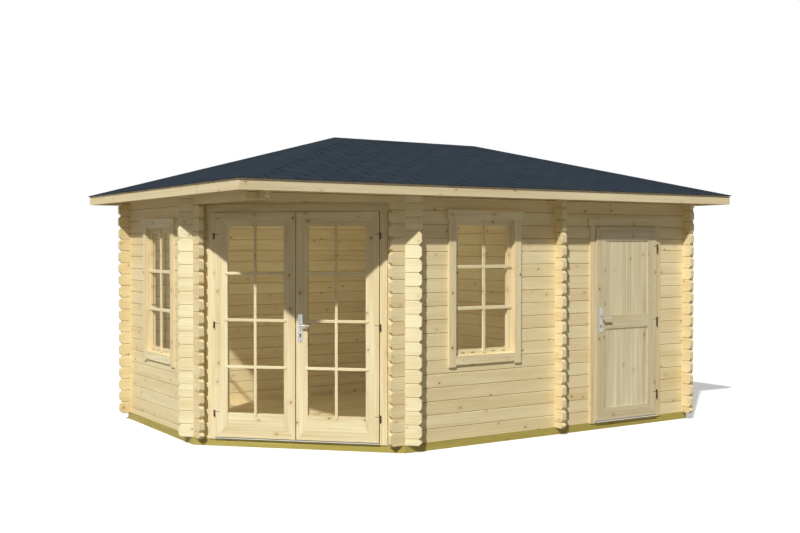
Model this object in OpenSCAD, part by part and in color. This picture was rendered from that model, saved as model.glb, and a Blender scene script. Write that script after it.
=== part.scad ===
// Log cabin with five corners: a main room behind a glazed double door that cuts the
// front left corner off, and a narrow store with its own door at the right end.
// The front faces -Y and the ground is at z = 0, under the middle of the roof.

/* [Plan] */
// Left wall from the outer face of the back wall to the diagonal wall's corner
left_bay = 1662; // [1500:1:2000]
// Length that the diagonal door wall cuts off each side of the front left corner
corner_cut = 1314; // [1200:1:1420]
// Front wall from the diagonal wall's corner to the partition
front_bay = 1616; // [1450:1:2000]
// Front wall from the partition to the outer face of the right wall
store_bay = 1694; // [1600:1:1900]

/* [Logs] */
// Height of one log
log_h = 114; // [105:1:125]
// Thickness of a log
log_t = 44; // [36:1:54]
// Bevel along the edges of a log
log_bevel = 5; // [3:0.5:7]
// Width of the tongue on top of a log
tongue_w = 14; // [8:1:18]
// Height of the tongue
tongue_h = 8; // [4:1:12]
// Log ends past a square corner
end_out = 105; // [70:1:140]
// Log ends past a corner of the diagonal wall
oblique_out = 137; // [110:1:160]
// Chamfer on the corners of a log's end
end_chamfer = 25; // [10:1:26]
// Gap between pieces that rest on each other
seat_gap = 0.3; // [0.2:0.1:0.5]

/* [Base and floor] */
// Height of the base beams
base_h = 61; // [45:1:90]
// Width of the base beams
base_t = 70; // [62:1:100]
// Base beams in front of the log faces
base_out = 8; // [0:1:15]
// Width of a floor joist
joist_w = 45; // [35:1:70]
// Distance from one joist to the next
joist_step = 500; // [400:1:650]
// Thickness of the floor boards
floor_t = 19; // [16:1:28]

/* [Roof] */
// Height from the base beams to the roof boards, at the outer face of a wall
wall_h = 2204; // [2150:1:2350]
// Slope of the roof in degrees
roof_pitch = 16.5; // [12:0.5:22]
// Outer wall face to the face of the fascia
overhang = 293; // [220:1:380]
// Thickness of the roof boards
board_t = 18; // [15:1:25]
// Thickness of the shingles
shingle_t = 6; // [4:0.5:8]
// Shingles past the fascia
shingle_lap = 14; // [5:1:30]
// Thickness of the fascia
fascia_t = 18; // [15:1:28]
// Height of the fascia below the roof boards
fascia_h = 68; // [50:1:100]
// Width of the ridge beam and of the hip rafters
rafter_w = 45; // [35:1:60]
// Height of the ridge beam below the ridge
ridge_h = 145; // [120:1:180]
// Height of a hip rafter below the roof boards
rafter_h = 95; // [70:1:120]

/* [Doors] */
// Space between a moving leaf and what is round it
leaf_gap = 5; // [5:0.5:8]
// Space between the two leaves of the double door
meet_gap = 7; // [6.5:0.5:10]
// Thickness of a door leaf
leaf_t = 40; // [36:1:46]
// Face of a door frame in front of the logs
frame_out = 20; // [12:1:24]
// Face of a leaf in front of its frame
leaf_out = 13; // [8:1:20]
// Cover of a frame post over the ends of the logs
post_lap = 22; // [15:1:30]
// Width of the door stop behind a leaf
stop_w = 14; // [8:1:20]
// Thickness of a threshold on the base beam
sill_t = 15; // [10:1:20]
// Front of a threshold past the leaf
sill_nose = 3; // [0:1:10]
// Thickness of that front, clear of the base beam
sill_lip = 8; // [4:1:9]
// Depth of the groove that holds glass or panels
groove = 10; // [6:1:14]
// Thickness of the glass
glass_t = 6; // [4:1:10]
// Width and depth of the lines where the pieces of a leaf meet
joint_line = 1.5; // [1:0.1:2]

/* [Double door] */
// Diagonal wall from each of its corners to the opening for the door frame
pair_side = 168; // [145:1:190]
// Roof boards to the top of the leaves
pair_drop = 277; // [255:1:340]
// Width of a frame post of the double door
pair_post = 63; // [55:1:80]
// Board over the double door past the posts
pair_ear = 20; // [0:1:24]
// Width of the hinge stile of a glazed leaf
hinge_stile = 112; // [100:1:135]
// Width of the meeting stile of a glazed leaf
meet_stile = 101; // [90:1:120]
// Height of the top rail of a glazed leaf
top_rail = 118; // [90:1:140]
// Height of the two bottom rails of a glazed leaf
bottom_rail = 207; // [180:1:260]
// Height of the lower one of them
mitre_rail = 105; // [90:1:130]
// Width of the strip on the left leaf's meeting edge
strip_w = 28; // [20:1:36]
// Thickness of that strip
strip_t = 8; // [5:1:12]

/* [Store door] */
// Outer face of the right wall to the middle of the store door
store_at = 829; // [780:1:850]
// Width between the posts of the store door
store_w = 787; // [740:1:830]
// Roof boards to the top of the store door's leaf
store_drop = 381; // [365:1:440]
// Width of a frame post of the store door
store_post = 58; // [48:1:70]
// Height of the board over the store door
store_head = 81; // [60:1:90]
// Board over the store door past the posts
store_ear = 22; // [0:1:30]
// Width of a stile of the store door
store_stile = 115; // [95:1:130]
// Height of its top rail
store_top_rail = 130; // [100:1:150]
// Height of its middle rail
store_mid_rail = 123; // [90:1:140]
// Height of its bottom rail
store_bottom_rail = 118; // [95:1:160]
// Top of the middle rail above the ground
mid_rail_top = 1056; // [1000:1:1100]
// Thickness of a panel board
panel_t = 24; // [10:1:28]
// Width of one board of a panel
panel_board = 69; // [50:1:150]
// Width of the groove between two boards
bead_w = 5; // [3:0.5:9]

/* [Windows] */
// Width between the outside boards of a window
window_w = 635; // [560:1:680]
// Height between the outside boards of a window
window_h = 1160; // [1000:1:1180]
// Roof boards to the top of that space
window_drop = 335; // [325:1:420]
// Width of the outside boards at the sides and below
trim_w = 72; // [60:1:95]
// Height of the top board
trim_head = 84; // [60:1:95]
// Thickness of the outside boards
trim_t = 20; // [14:1:26]
// Outside boards over the window frame
trim_lap = 30; // [20:1:34]
// Top board past the side boards
trim_ear = 16; // [0:1:25]
// Top board in front of the side boards
trim_front = 4; // [0:1:8]
// Chamfer on the upper corners of the top board
trim_chamfer = 10; // [4:1:16]
// Side boards below the bottom board
trim_leg = 18; // [0:1:30]
// Width of the window frame inside the logs
box_w = 36; // [35:1:40]
// Window frame past the inner face of the logs
box_in = 18; // [18:1:30]
// Outer face of the logs to the sash
sash_in = 22; // [15:1:24]
// Width of the sash round the glass
sash_w = 42; // [36:1:60]
// Depth of the sash
sash_t = 38; // [30:1:38]
// Fall of the sill in front of the sash
sill_fall = 10; // [4:1:16]

/* [Ironmongery] */
// Diameter of a hinge barrel on the double door
pair_barrel = 15; // [12:1:18]
// Height of a hinge on the double door
pair_hinge_h = 54; // [40:2:80]
// Diameter of a hinge barrel on the store door
store_barrel = 18; // [14:1:20]
// Height of a hinge on the store door
store_hinge_h = 78; // [60:2:100]
// Hinge barrel to the leaf and to the frame
barrel_gap = 3; // [2:0.5:4]
// Diameter of a hinge pin
pin_d = 7; // [5:0.5:8]
// Top of a pin below the top of its hinge
pin_short = 6; // [4:1:10]
// Diameter of the shanks that hold a hinge
shank_d = 6; // [5:0.5:7]
// Length of a shank in the wood
shank_l = 35; // [25:1:40]
// Top and bottom of a leaf to the nearest hinge
hinge_inset = 200; // [160:1:260]
// Height of the double door's lever above the ground
pair_lever_z = 1045; // [1000:1:1060]
// Height of the store door's lever above the ground
store_lever_z = 1045; // [1000:1:1060]
// Length of a lever
lever_len = 98; // [85:1:130]
// Diameter of a lever
lever_d = 17; // [14:1:20]
// Lever in front of the leaf
lever_out = 48; // [40:1:60]
// Meeting edge of the right leaf to its lever's spindle
pair_backset = 38; // [36:1:50]
// Edge of the store door to its lever's spindle
store_backset = 52; // [42:1:58]
// Width of a lock plate
plate_w = 39; // [34:1:46]
// Height of a lock plate
plate_h = 229; // [180:1:250]
// Lock plate below its lever
plate_drop = 140; // [100:1:160]
// Radius on the corners of a lock plate
plate_round = 4; // [2:0.5:10]
// Thickness of a lock plate
plate_t = 4; // [3:0.5:6]

/* [Hidden] */
$fn = 48;

// Gap between parts that turn on each other, and cutters past the faces that they cut
run_gap = 0.4;
over = 1;

// Walls, seen from outside: x runs to the right, y inwards
wall_w = corner_cut + front_bay + store_bay;
wall_d = corner_cut + left_bay;
left_x = -wall_w / 2;
right_x = wall_w / 2;
front_y = -wall_d / 2;
back_y = wall_d / 2;
partition_x = right_x - store_bay;
diagonal_half = corner_cut / sqrt(2);
reach = wall_w + wall_d;
SQUARE = 0;
HALF = 0.5;

// Roof heights: the boards rest on the walls at plate_z
rise = tan(roof_pitch);
plate_z = base_h + wall_h;
roof_run = wall_d / 2;
board_v = board_t / cos(roof_pitch);
shingle_v = shingle_t / cos(roof_pitch);
ridge_half = wall_w / 2 - roof_run;

// Doors: the leaves stand in front of their frames
sill_top = base_h + sill_t;
leaf_z = sill_top + leaf_gap;
leaf_front = -frame_out - leaf_out;
leaf_back = leaf_front + leaf_t;
stop_y = leaf_back + leaf_gap;
pair_top = plate_z - pair_drop;
pair_open_w = 2 * (diagonal_half - pair_side);
pair_open_top = pair_top + leaf_gap + pair_post - post_lap;
pair_w = pair_open_w - 2 * (pair_post - post_lap);
store_x = right_x - store_at;
store_top = plate_z - store_drop;
store_open_w = store_w + 2 * (store_post - post_lap);
store_open_top = store_top + leaf_gap + store_head - post_lap;

// The logs above the diagonal door cross at the front left corner, clear of the leaves
beam_clear = 40;
beam_course = ceil((pair_top + beam_clear - base_h) / log_h + HALF);
beam_z = base_h + (beam_course - HALF) * log_h;
front_top_course = round((store_top - base_h) / log_h);

// Windows, each in the middle of its length of wall
window_top = plate_z - window_drop;
window_z = window_top - window_h;
front_window_x = (left_x + corner_cut + partition_x + log_t / 2) / 2;
left_window_x = (log_t - corner_cut) / 2;
// The courses of the left wall lie half a log lower than those of the front wall
left_window_fall = log_h / 2;
sash_edge = box_w - trim_lap + 2 * seat_gap;
sash_low = [sash_edge - window_w / 2, window_z + sash_edge];
sash_high = [window_w / 2 - sash_edge, window_top - sash_edge];
glass_low = sash_low + [sash_w, sash_w];
glass_high = sash_high - [sash_w, sash_w];

pine = [0.93, 0.83, 0.60];
pale_pine = [0.96, 0.88, 0.68];
treated = [0.60, 0.58, 0.30];
slate = [0.20, 0.23, 0.27];
steel = [0.75, 0.76, 0.77];
dark_iron = [0.22, 0.18, 0.15];
clear_glass = [0.70, 0.80, 0.82, 0.45];

// The frame of one wall
module on_wall(wall) {
    if (wall == "front") translate([0, front_y, 0]) children();
    if (wall == "back") translate([0, back_y, 0]) rotate(180) children();
    if (wall == "left") translate([left_x, 0, 0]) rotate(-90) children();
    if (wall == "right") translate([right_x, 0, 0]) rotate(90) children();
    if (wall == "partition") translate([partition_x, 0, 0]) rotate(-90) children();
    if (wall == "diagonal_left" || wall == "diagonal_right")
        translate([left_x + corner_cut / 2, front_y + corner_cut / 2, 0]) rotate(-45) children();
}

function phase_of(wall) =
    wall == "front" || wall == "back" || wall == "diagonal_left" ? SQUARE : HALF;

function crossings(wall) =
    wall == "front" ? ["left", "right", "partition", "diagonal_right"] :
    wall == "back" ? ["left", "right", "partition"] :
    wall == "left" ? ["front", "back", "diagonal_left"] :
    wall == "diagonal_left" ? ["left"] :
    wall == "diagonal_right" ? ["front"] : ["front", "back"];

// Heights of one course of logs
function course_low(i, phase) = base_h + max(0, i - phase) * log_h;
function course_high(i, phase) = base_h + (i + 1 - phase) * log_h;
function course_mid(i, phase) = base_h + (i + 0.5 - phase) * log_h;
function last_course(top, phase) = round((top - base_h) / log_h + phase) - 1;

// Box from its lowest to its highest corner
module block(low, high) {
    translate(low) cube(high - low);
}

// Profile across a wall, drawn in y and z, run from x = a to x = b
module along(a, b) {
    translate([a, 0, 0]) rotate([90, 0, 90]) linear_extrude(b - a) children();
}

// Space under the roof planes, lifted off the walls by lift
module roof_space(lift) {
    ridge_z = plate_z + lift + roof_run * rise;
    eave_z = plate_z + lift - overhang * rise;
    intersection() {
        along(-reach, reach) polygon([[front_y - overhang, 0], [back_y + overhang, 0],
            [back_y + overhang, eave_z], [0, ridge_z], [front_y - overhang, eave_z]]);
        rotate(90) along(-reach, reach) polygon([[left_x - overhang, 0], [right_x + overhang, 0],
            [right_x + overhang, eave_z], [ridge_half, ridge_z], [-ridge_half, ridge_z],
            [left_x - overhang, eave_z]]);
    }
}

// Section of a log with its bevels, tongue and groove
module log_section(low, high, grooved) {
    mid = log_t / 2;
    half = tongue_w / 2;
    slack = 2 * seat_gap;
    difference() {
        union() {
            polygon([[0, low + log_bevel], [log_bevel, low], [log_t - log_bevel, low],
                [log_t, low + log_bevel], [log_t, high - log_bevel], [log_t - log_bevel, high],
                [log_bevel, high], [0, high - log_bevel]]);
            translate([mid - half, high - over]) square([tongue_w, tongue_h + over]);
        }
        if (grooved)
            translate([mid - half - slack, low - over])
                square([tongue_w + 2 * slack, tongue_h + slack + over]);
    }
}

// Side view of a log with the corners of its free ends chamfered
module log_outline(a, b, low, high, free_a, free_b) {
    cut = min(end_chamfer, (high - low) / 2 - over);
    in_a = free_a ? cut : 0;
    in_b = free_b ? cut : 0;
    top = high + tongue_h;
    polygon([[a, low + in_a], [a + in_a, low], [b - in_b, low], [b, low + in_b],
        [b, high - in_b], [b - in_b, high], [b - in_b, top], [a + in_a, top], [a + in_a, high],
        [a, high - in_a]]);
}

// One log from a to b along its wall
module log_piece(a, b, low, high, free_a, free_b, grooved) {
    intersection() {
        along(a, b) log_section(low, high, grooved);
        rotate([90, 0, 0]) translate([0, 0, -log_t - over]) linear_extrude(log_t + 2 * over)
            log_outline(a, b, low, high, free_a, free_b);
    }
}

// Notches that leave a log of height mid its quarter above and below, for the crossing wall
module notches(mid, other) {
    other_last = course_mid(last_course(plate_z, phase_of(other)), phase_of(other));
    quarter = log_h / 4 - seat_gap / 2;
    on_wall(other) {
        if (mid - log_h / 2 < other_last + over)
            block([-reach, -seat_gap, 0], [reach, log_t + seat_gap, mid - quarter]);
        if (mid + log_h / 2 < other_last + over)
            block([-reach, -seat_gap, mid + quarter], [reach, log_t + seat_gap, 2 * plate_z]);
    }
}

// Courses first to last of one wall, cut to the roof and notched where walls cross
module log_wall(wall, a, b, first, last, top, free_a = true, free_b = true) {
    phase = phase_of(wall);
    for (i = [first:last]) {
        low = course_low(i, phase);
        high = i == last_course(top, phase) ? top + log_h : course_high(i, phase) - seat_gap;
        difference() {
            if (high > plate_z - end_out * rise) {
                intersection() {
                    on_wall(wall) log_piece(a, b, low, high, free_a, free_b, i > 0);
                    roof_space(-seat_gap);
                }
            } else {
                on_wall(wall) log_piece(a, b, low, high, free_a, free_b, i > 0);
            }
            for (other = crossings(wall)) notches(course_mid(i, phase), other);
        }
    }
}

// Holes in the walls for the doors and windows
module opening(x, width, low, high) {
    block([x - width / 2, -log_t, low], [x + width / 2, 2 * log_t, high]);
}

module pair_opening() {
    on_wall("diagonal_left") opening(0, pair_open_w + 2 * seat_gap, 0, pair_open_top + seat_gap);
}

module store_opening() {
    on_wall("front") opening(store_x, store_open_w + 2 * seat_gap, 0, store_open_top + seat_gap);
}

module window_opening(x) {
    opening(x, window_w + 2 * trim_lap, window_z - trim_lap, window_top + trim_lap);
}

module front_window_opening() {
    on_wall("front") window_opening(front_window_x);
}

module left_window_opening() {
    on_wall("left") translate([0, 0, -left_window_fall]) window_opening(left_window_x);
}

// Corners of the plan, moved in by inset: diagonal left, diagonal right, front right,
// back right, back left
function plan(inset) = [
    [left_x + inset, front_y + corner_cut + (sqrt(2) - 1) * inset],
    [left_x + corner_cut + (sqrt(2) - 1) * inset, front_y + inset],
    [right_x - inset, front_y + inset],
    [right_x - inset, back_y - inset],
    [left_x + inset, back_y - inset]];

// Base and floor
module base_beams() {
    outer = plan(-base_out);
    inner = plan(base_t - base_out);
    half = roof_run - base_t + base_out - seat_gap;
    color(treated) {
        for (k = [0:4]) {
            next = (k + 1) % 5;
            along_edge = (outer[next] - outer[k]) / norm(outer[next] - outer[k]) * seat_gap;
            linear_extrude(base_h)
                polygon([outer[k] + along_edge, outer[next], inner[next], inner[k] + along_edge]);
        }
        on_wall("partition")
            block([-half, log_t / 2 - base_t / 2, 0], [half, log_t / 2 + base_t / 2, base_h]);
    }
}

module joist_row(from_x, to_x) {
    count = ceil((to_x - from_x) / joist_step) - 1;
    step = (to_x - from_x) / (count + 1);
    for (k = [1:count])
        translate([from_x + k * step, 0, 0])
            block([-joist_w / 2, front_y, 0], [joist_w / 2, back_y, base_h]);
}

module floor_joists() {
    color(treated) intersection() {
        union() {
            joist_row(left_x, partition_x + log_t / 2);
            joist_row(partition_x + log_t / 2, right_x);
        }
        linear_extrude(base_h) polygon(plan(base_t - base_out + seat_gap));
    }
}

module floor_plate(from_x, to_x) {
    intersection() {
        translate([0, 0, base_h]) linear_extrude(floor_t) polygon(plan(log_t + seat_gap));
        block([from_x, front_y, 0], [to_x, back_y, plate_z]);
    }
}

module main_floor() {
    color(pale_pine) floor_plate(left_x, partition_x - seat_gap);
}

module store_floor() {
    color(pale_pine) floor_plate(partition_x + log_t + seat_gap, right_x);
}

// Log walls
module left_wall() {
    corner = roof_run + end_out;
    color(pine) difference() {
        union() {
            log_wall("left", -corner, roof_run - corner_cut + oblique_out, 0, beam_course - 1, plate_z);
            log_wall("left", -corner, corner, beam_course, last_course(plate_z, HALF), plate_z);
        }
        left_window_opening();
    }
}

module back_wall() {
    corner = wall_w / 2 + end_out;
    color(pine) log_wall("back", -corner, corner, 0, last_course(plate_z, SQUARE), plate_z);
}

module right_wall() {
    corner = roof_run + end_out;
    color(pine) log_wall("right", -corner, corner, 0, last_course(plate_z, HALF), plate_z);
}

module partition_wall() {
    corner = roof_run + end_out;
    top = plate_z + roof_run * rise;
    color(pine) difference() {
        log_wall("partition", -corner, corner, 0, last_course(top, HALF), top);
        ridge_solid(seat_gap);
    }
}

module front_wall_left() {
    color(pine) difference() {
        log_wall("front", left_x + corner_cut - oblique_out, store_x, 0, front_top_course - 1,
            plate_z, true, false);
        store_opening();
        front_window_opening();
    }
}

module front_wall_right() {
    color(pine) difference() {
        log_wall("front", store_x, right_x + end_out, 0, front_top_course - 1, plate_z, false, true);
        store_opening();
    }
}

module front_wall_top() {
    short_a = left_x + corner_cut - oblique_out;
    beam_first = floor((beam_z - base_h) / log_h);
    last = last_course(plate_z, SQUARE);
    color(pine) difference() {
        union() {
            log_wall("front", short_a, right_x + end_out, front_top_course, beam_first - 1, plate_z);
            log_wall("front", left_x - end_out, right_x + end_out, beam_first, last, plate_z);
        }
        store_opening();
        front_window_opening();
        on_wall("front") block([-reach, -log_t, 0], [short_a, 2 * log_t, beam_z]);
    }
}

module diagonal_wall_left() {
    a = -diagonal_half - oblique_out;
    b = -pair_open_w / 2 - seat_gap;
    color(pine) log_wall("diagonal_left", a, b, 0, last_course(plate_z, SQUARE), plate_z, true, false);
}

module diagonal_wall_right() {
    a = pair_open_w / 2 + seat_gap;
    b = diagonal_half + oblique_out;
    color(pine) log_wall("diagonal_right", a, b, 0, last_course(plate_z, HALF), plate_z, false, true);
}

module diagonal_wall_top() {
    half = pair_open_w / 2;
    top = plate_z + corner_cut / 2 * rise;
    color(pine) difference() {
        log_wall("diagonal_left", -half, half, floor((pair_open_top - base_h) / log_h),
            last_course(top, SQUARE), top, false, false);
        pair_opening();
        hip_solid(seat_gap);
    }
}

// Roof timbers under the boards
module ridge_solid(margin) {
    half = ridge_half + rafter_w * sqrt(2);
    top = plate_z + roof_run * rise;
    block([-half - margin, -rafter_w / 2 - margin, top - ridge_h - margin],
        [half + margin, rafter_w / 2 + margin, top]);
}

module ridge_beam() {
    color(pale_pine) intersection() {
        ridge_solid(0);
        roof_space(-seat_gap);
    }
}

// A hip rafter from the front left corner of the walls to the ridge
module hip_solid(margin) {
    climb = rise / sqrt(2);
    length = roof_run * sqrt(2);
    drop = rafter_h + margin;
    translate([left_x, front_y, plate_z]) rotate(45)
        translate([0, rafter_w / 2 + margin, 0]) rotate([90, 0, 0])
            linear_extrude(rafter_w + 2 * margin)
                polygon([[0, -drop], [length, length * climb - drop], [length, length * climb + log_h],
                    [0, log_h]]);
}

module hip_rafters() {
    color(pale_pine)
        for (sx = [0, 1], sy = [0, 1])
            mirror([sx, 0, 0]) mirror([0, sy, 0])
                difference() {
                    intersection() {
                        hip_solid(0);
                        roof_space(-seat_gap);
                    }
                    block([-reach, -reach, 0], [left_x + log_t + seat_gap, reach, 2 * plate_z]);
                    block([-reach, -reach, 0], [reach, front_y + log_t + seat_gap, 2 * plate_z]);
                    block([-reach, -rafter_w / 2 - seat_gap, 0], [reach, reach, 2 * plate_z]);
                }
}

// One slope of the roof, mitred at the hips: wall_half is half its wall's length
module slope(wall_half, lift, thick, out) {
    eave_z = plate_z + lift - out * rise;
    ridge_z = plate_z + lift + roof_run * rise;
    intersection() {
        along(-wall_half - out, wall_half + out)
            polygon([[-out, eave_z], [roof_run, ridge_z], [roof_run, ridge_z + thick],
                [-out, eave_z + thick]]);
        linear_extrude(2 * plate_z)
            polygon([[-wall_half - out, -out], [wall_half + out, -out], [wall_half - roof_run, roof_run],
                [roof_run - wall_half, roof_run]]);
    }
}

module roof_boards(wall, wall_half) {
    color(pale_pine) on_wall(wall) slope(wall_half, 0, board_v, overhang);
}

module shingles(wall, wall_half) {
    color(slate) on_wall(wall) slope(wall_half, board_v, shingle_v, overhang + shingle_lap);
}

module fascia_board(wall_half) {
    top = plate_z - overhang * rise - seat_gap;
    intersection() {
        along(-wall_half - overhang, wall_half + overhang)
            polygon([[-overhang, top - fascia_h], [fascia_t - overhang, top - fascia_h],
                [fascia_t - overhang, top + fascia_t * rise], [-overhang, top]]);
        linear_extrude(2 * plate_z)
            polygon([[seat_gap - wall_half - overhang, -overhang], [wall_half + overhang, -overhang],
                [wall_half, 0], [seat_gap - wall_half, 0]]);
    }
}

module fascia_boards() {
    color(pale_pine) {
        for (wall = ["front", "back"]) on_wall(wall) fascia_board(wall_w / 2);
        for (wall = ["left", "right"]) on_wall(wall) fascia_board(wall_d / 2);
    }
}

// Door frame: posts that lap over the log ends outside, a head, and stops behind the leaf
module door_post(half, post) {
    polygon([[-half - post, -frame_out], [-half, -frame_out], [-half, stop_y], [-half + stop_w, stop_y],
        [-half + stop_w, log_t], [-half - post + post_lap, log_t], [-half - post + post_lap, -seat_gap],
        [-half - post, -seat_gap]]);
}

module door_frame(width, top, post, head, ear) {
    half = width / 2;
    outer = half + post;
    stop_half = half - stop_w - seat_gap;
    head_z = top + leaf_gap;
    for (side = [0, 1])
        mirror([side, 0, 0]) translate([0, 0, base_h + seat_gap])
            linear_extrude(head_z - base_h - 2 * seat_gap) door_post(half, post);
    block([-outer - ear, -frame_out, head_z], [outer + ear, -seat_gap, head_z + head]);
    block([post_lap - outer, -seat_gap, head_z], [outer - post_lap, log_t, head_z + head - post_lap]);
    block([-stop_half, stop_y, head_z - stop_w], [stop_half, log_t, head_z - seat_gap]);
    block([-stop_half, stop_y, base_h], [stop_half, log_t, leaf_z + stop_w]);
}

module door_threshold(width) {
    nose_y = leaf_front - sill_nose;
    nose_z = sill_top - sill_lip;
    back = stop_y - seat_gap;
    color(steel) along(seat_gap - width / 2, width / 2 - seat_gap)
        polygon([[nose_y, nose_z], [0, nose_z], [0, base_h], [back, base_h], [back, sill_top],
            [nose_y, sill_top]]);
}

// Frame of a leaf or sash with a groove for what fills it; outer and inner are [x, z] corners
module grooved_frame(outer_low, outer_high, inner_low, inner_high, front, thick, fill_t) {
    mid = front + thick / 2;
    slot = fill_t / 2 + seat_gap;
    difference() {
        block([outer_low[0], front, outer_low[1]], [outer_high[0], front + thick, outer_high[1]]);
        block([inner_low[0], front - over, inner_low[1]],
            [inner_high[0], front + thick + over, inner_high[1]]);
        block([inner_low[0] - groove, mid - slot, inner_low[1] - groove],
            [inner_high[0] + groove, mid + slot, inner_high[1] + groove]);
    }
}

module groove_fill(inner_low, inner_high, front, thick, fill_t) {
    mid = front + thick / 2;
    edge = groove - seat_gap;
    block([inner_low[0] - edge, mid - fill_t / 2, inner_low[1] - edge],
        [inner_high[0] + edge, mid + fill_t / 2, inner_high[1] + edge]);
}

// Lines on both faces of a leaf where its stiles and rails meet, along [x, z] points
module joint_lines(points) {
    for (k = [1:len(points) - 1], y = [leaf_front, leaf_back]) {
        run = points[k] - points[k - 1];
        translate([points[k - 1][0], y, points[k - 1][1]]) rotate([0, -atan2(run[1], run[0]), 0])
            block([-joint_line, -joint_line, -joint_line / 2],
                [norm(run) + joint_line, joint_line, joint_line / 2]);
    }
}

// Double door, in the frame of the diagonal wall: the left leaf, and its mirror image
pair_low = [leaf_gap - pair_w / 2, leaf_z];
pair_high = [-meet_gap / 2, pair_top];
pane_low = [pair_low[0] + hinge_stile, leaf_z + bottom_rail];
pane_high = [pair_high[0] - meet_stile, pair_top - top_rail];

module pair_frame() {
    color(pale_pine) on_wall("diagonal_left") difference() {
        door_frame(pair_w, pair_top, pair_post, pair_post, pair_ear);
        for (side = [0, 1])
            mirror([side, 0, 0]) pair_hinges() post_shank(pair_barrel, pair_hinge_h, seat_gap);
    }
}

module pair_threshold() {
    on_wall("diagonal_left") door_threshold(pair_w);
}

module glazed_leaf() {
    mitre_z = leaf_z + mitre_rail;
    difference() {
        grooved_frame(pair_low, pair_high, pane_low, pane_high, leaf_front, leaf_t, glass_t);
        joint_lines([pair_low, [pane_low[0], mitre_z], [pane_high[0], mitre_z], [pair_high[0], leaf_z]]);
        joint_lines([[pane_low[0], mitre_z], pane_low]);
        joint_lines([[pane_high[0], mitre_z], [pane_high[0], pane_low[1]]]);
        joint_lines([[pair_low[0], pair_top], [pane_low[0], pane_high[1]]]);
        joint_lines([pair_high, pane_high]);
        pair_hinges() leaf_shank(pair_barrel, pair_hinge_h, seat_gap);
    }
}

module left_leaf() {
    color(pale_pine) on_wall("diagonal_left") {
        glazed_leaf();
        block([pair_high[0] - strip_w, leaf_front - strip_t, leaf_z], [pair_high[0], leaf_front, pair_top]);
    }
}

module right_leaf() {
    color(pale_pine) on_wall("diagonal_left") difference() {
        mirror([1, 0, 0]) glazed_leaf();
        spindle(pair_lever_x, pair_lever_z, lever_d / 2 + run_gap);
    }
}

module left_leaf_glass() {
    color(clear_glass) on_wall("diagonal_left")
        groove_fill(pane_low, pane_high, leaf_front, leaf_t, glass_t);
}

module right_leaf_glass() {
    color(clear_glass) on_wall("diagonal_left") mirror([1, 0, 0])
        groove_fill(pane_low, pane_high, leaf_front, leaf_t, glass_t);
}

// Store door, in the frame of the front wall
store_low = [store_x - store_w / 2 + leaf_gap, leaf_z];
store_high = [store_x + store_w / 2 - leaf_gap, store_top];
panel_left = store_low[0] + store_stile;
panel_right = store_high[0] - store_stile;
lower_low = [panel_left, leaf_z + store_bottom_rail];
lower_high = [panel_right, mid_rail_top - store_mid_rail];
upper_low = [panel_left, mid_rail_top];
upper_high = [panel_right, store_top - store_top_rail];

module store_frame() {
    color(pale_pine) on_wall("front") difference() {
        translate([store_x, 0, 0]) door_frame(store_w, store_top, store_post, store_head, store_ear);
        store_hinges() post_shank(store_barrel, store_hinge_h, seat_gap);
    }
}

module store_threshold() {
    on_wall("front") translate([store_x, 0, 0]) door_threshold(store_w);
}

module store_leaf() {
    rail_z = (upper_low[1] + lower_high[1]) / 2;
    color(pale_pine) on_wall("front") difference() {
        union() {
            grooved_frame(store_low, [store_high[0], rail_z], lower_low, lower_high,
                leaf_front, leaf_t, panel_t);
            grooved_frame([store_low[0], rail_z], store_high, upper_low, upper_high,
                leaf_front, leaf_t, panel_t);
        }
        joint_lines([store_low, lower_low]);
        joint_lines([[store_high[0], leaf_z], [panel_right, lower_low[1]]]);
        joint_lines([[panel_left, lower_high[1]], upper_low]);
        joint_lines([lower_high, [panel_right, upper_low[1]]]);
        joint_lines([[store_low[0], store_top], [panel_left, upper_high[1]]]);
        joint_lines([store_high, upper_high]);
        store_hinges() leaf_shank(store_barrel, store_hinge_h, seat_gap);
        spindle(store_lever_x, store_lever_z, lever_d / 2 + run_gap);
    }
}

// Beaded boards: a panel with a V groove where two boards meet
module beaded_panel(low, high) {
    mid = leaf_front + leaf_t / 2;
    count = round((high[0] - low[0]) / panel_board);
    step = (high[0] - low[0]) / count;
    side = bead_w / sqrt(2);
    difference() {
        groove_fill(low, high, leaf_front, leaf_t, panel_t);
        for (k = [1:count - 1], face = [-1, 1])
            translate([low[0] + k * step, mid + face * panel_t / 2, low[1] - groove])
                rotate(45) linear_extrude(high[1] - low[1] + 2 * groove) square(side, center = true);
    }
}

module store_panels() {
    color(pine) on_wall("front") {
        beaded_panel(lower_low, lower_high);
        beaded_panel(upper_low, upper_high);
    }
}

// Hinges, each round its own axis: the lower half with the pin is held by the post,
// the upper half by the edge of the leaf
function hinge_heights(top) = [leaf_z + hinge_inset, (leaf_z + top) / 2, top - hinge_inset];
function hinge_y(barrel) = -frame_out - barrel_gap - barrel / 2;

module pair_hinges() {
    axis_x = pair_low[0] - barrel_gap - pair_barrel / 2;
    for (z = hinge_heights(pair_top)) translate([axis_x, hinge_y(pair_barrel), z]) children();
}

module store_hinges() {
    axis_x = store_high[0] + barrel_gap + store_barrel / 2;
    for (z = hinge_heights(store_top))
        translate([axis_x, hinge_y(store_barrel), z]) mirror([1, 0, 0]) children();
}

module post_shank(barrel, height, margin) {
    translate([0, 0, -height / 4]) rotate([-90, 0, 0])
        cylinder(d = shank_d + 2 * margin, h = barrel / 2 + barrel_gap + shank_l + margin);
}

module leaf_shank(barrel, height, margin) {
    translate([0, 0, height / 4]) rotate([0, 90, 0])
        cylinder(d = shank_d + 2 * margin, h = barrel / 2 + barrel_gap + shank_l + margin);
}

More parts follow.
